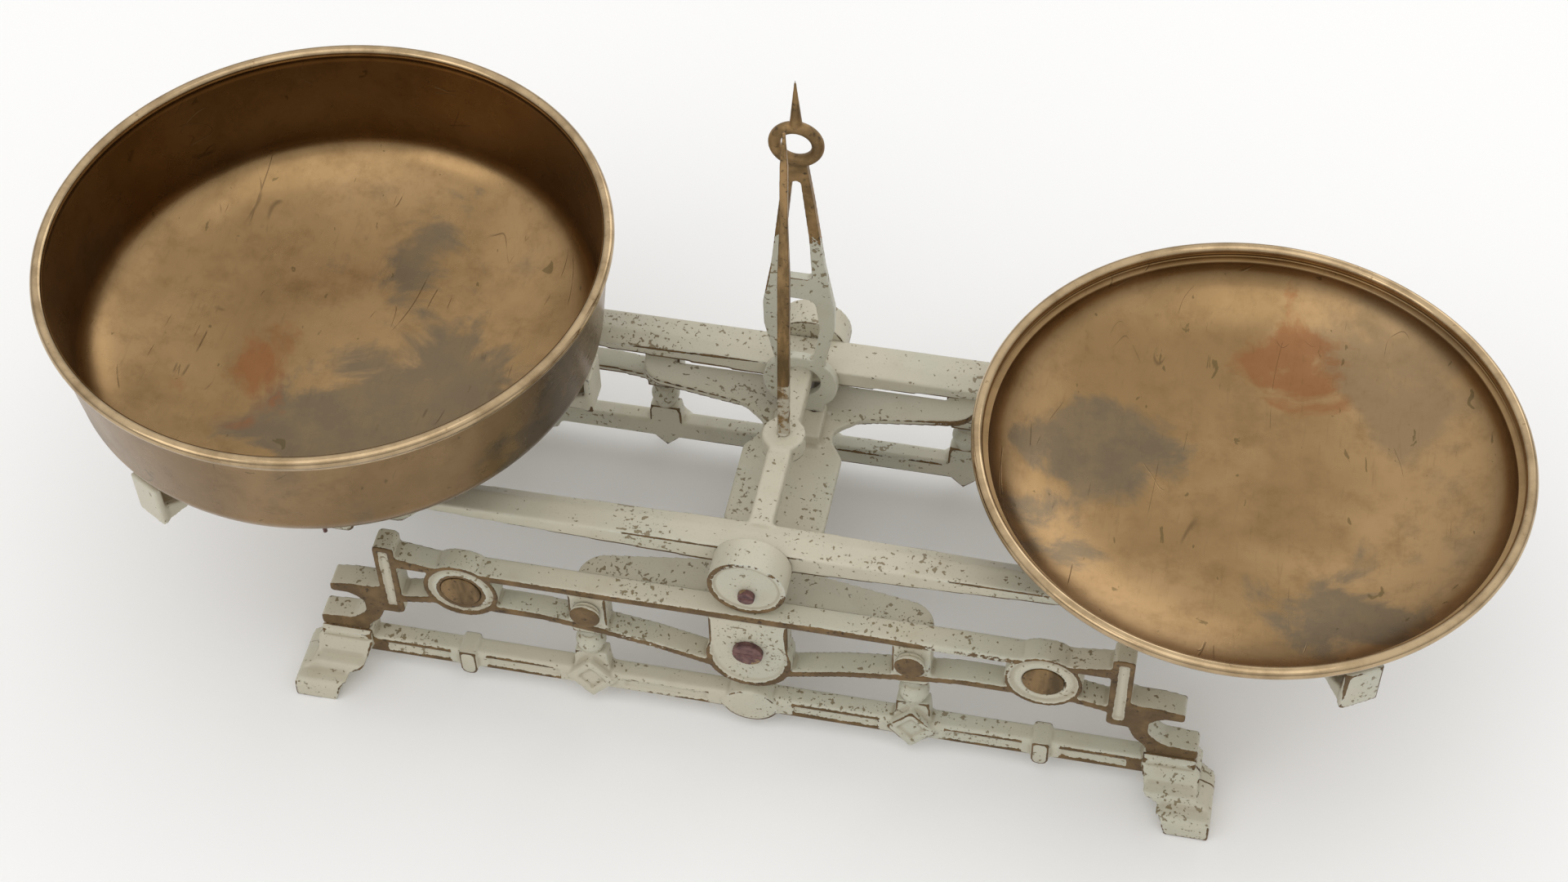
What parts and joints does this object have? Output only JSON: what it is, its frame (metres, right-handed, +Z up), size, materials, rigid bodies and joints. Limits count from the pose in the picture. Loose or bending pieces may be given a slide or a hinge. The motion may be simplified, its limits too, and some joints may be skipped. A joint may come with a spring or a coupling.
{
  "type": "counter balance scale",
  "caption": "Open counter balance with a deep and a shallow brass pan on a cream-painted cast frame, with a fixed pointer and a moving needle.",
  "frame": {"origin": "on the surface that the feet stand on, midway between the two side frames, under the fulcrum", "axes": "+X towards the shallow pan, +Y towards the fixed pointer's side (the back), +Z up"},
  "size_m": [0.5681, 0.22, 0.2567],
  "materials": {
    "cream_paint": "worn gloss enamel with brown bare edges",
    "pointer_paint": "worn gloss enamel, bare brown bronze above",
    "pan_brass": "aged, brushed and blotched, polished rim",
    "needle_brass": "dark aged bare metal",
    "aged_bronze": "dark aged bare metal",
    "dark_screw": "dark brown oxide",
    "bare_steel": "ground knife steel"
  },
  "bodies": {
    "base": {"front_upper_frame": "cream_paint", "front_lower_rail": "cream_paint", "rear_upper_frame": "cream_paint", "rear_lower_rail": "cream_paint", "front_ball_pillars": "cream_paint", "rear_ball_pillars": "cream_paint", "boss_plugs": "aged_bronze", "frame_bolts": "cream_paint", "centre_screws": "dark_screw", "bridge_plate": "cream_paint", "fixed_pointer": "pointer_paint", "pointer_screws": "dark_screw", "rear_fulcrum_bearing": "bare_steel", "front_fulcrum_bearing": "bare_steel", "stay_hanger": "cream_paint", "stay_pivot_pin": "bare_steel", "hanger_screws": "dark_screw"},
    "beam": {"balance_beam": "cream_paint", "fulcrum_knives": "bare_steel", "left_end_knives": "bare_steel", "right_end_knives": "bare_steel", "needle": "needle_brass", "front_beam_cap": "cream_paint", "rear_beam_cap": "cream_paint", "cap_screws": "dark_screw", "cheek_pins": "dark_screw"},
    "stay": {"stay": "cream_paint"},
    "left_carrier": {"left_spider": "cream_paint", "left_yoke": "cream_paint", "left_stem": "cream_paint", "left_clevis": "cream_paint", "left_stay_pin": "bare_steel"},
    "right_carrier": {"right_spider": "cream_paint", "right_yoke": "cream_paint", "right_stem": "cream_paint", "right_clevis": "cream_paint", "right_stay_pin": "bare_steel"},
    "left_pan": {"deep_pan": "pan_brass"},
    "right_pan": {"shallow_pan": "pan_brass"}
  },
  "joints": [
    {"name": "beam_tilt", "type": "hinge", "parent": "base", "child": "beam", "pos_m": [0, 0, 0.084], "axis": [0, 1, 0], "range_deg": [-4, 4], "stiffness_Nm_per_rad": 0.6},
    {"name": "stay_tilt", "type": "hinge", "parent": "base", "child": "stay", "pos_m": [0, 0, 0.027], "axis": [0, 1, 0], "range_deg": [-4, 4]},
    {"name": "left_carrier_swing", "type": "hinge", "parent": "beam", "child": "left_carrier", "pos_m": [-0.178, 0, 0.084], "axis": [0, 1, 0], "range_deg": [-4, 4]},
    {"name": "right_carrier_swing", "type": "hinge", "parent": "beam", "child": "right_carrier", "pos_m": [0.178, 0, 0.084], "axis": [0, 1, 0], "range_deg": [-4, 4]},
    {"name": "left_pan_lift", "type": "slide", "parent": "left_carrier", "child": "left_pan", "axis": [0, 0, 1], "range_m": [0, 0.15]},
    {"name": "right_pan_lift", "type": "slide", "parent": "right_carrier", "child": "right_pan", "axis": [0, 0, 1], "range_m": [0, 0.15]}
  ],
  "couplings": [
    {"joint": "stay_tilt", "follows": "beam_tilt", "ratio": 1},
    {"joint": "left_carrier_swing", "follows": "beam_tilt", "ratio": -1},
    {"joint": "right_carrier_swing", "follows": "beam_tilt", "ratio": -1}
  ]
}
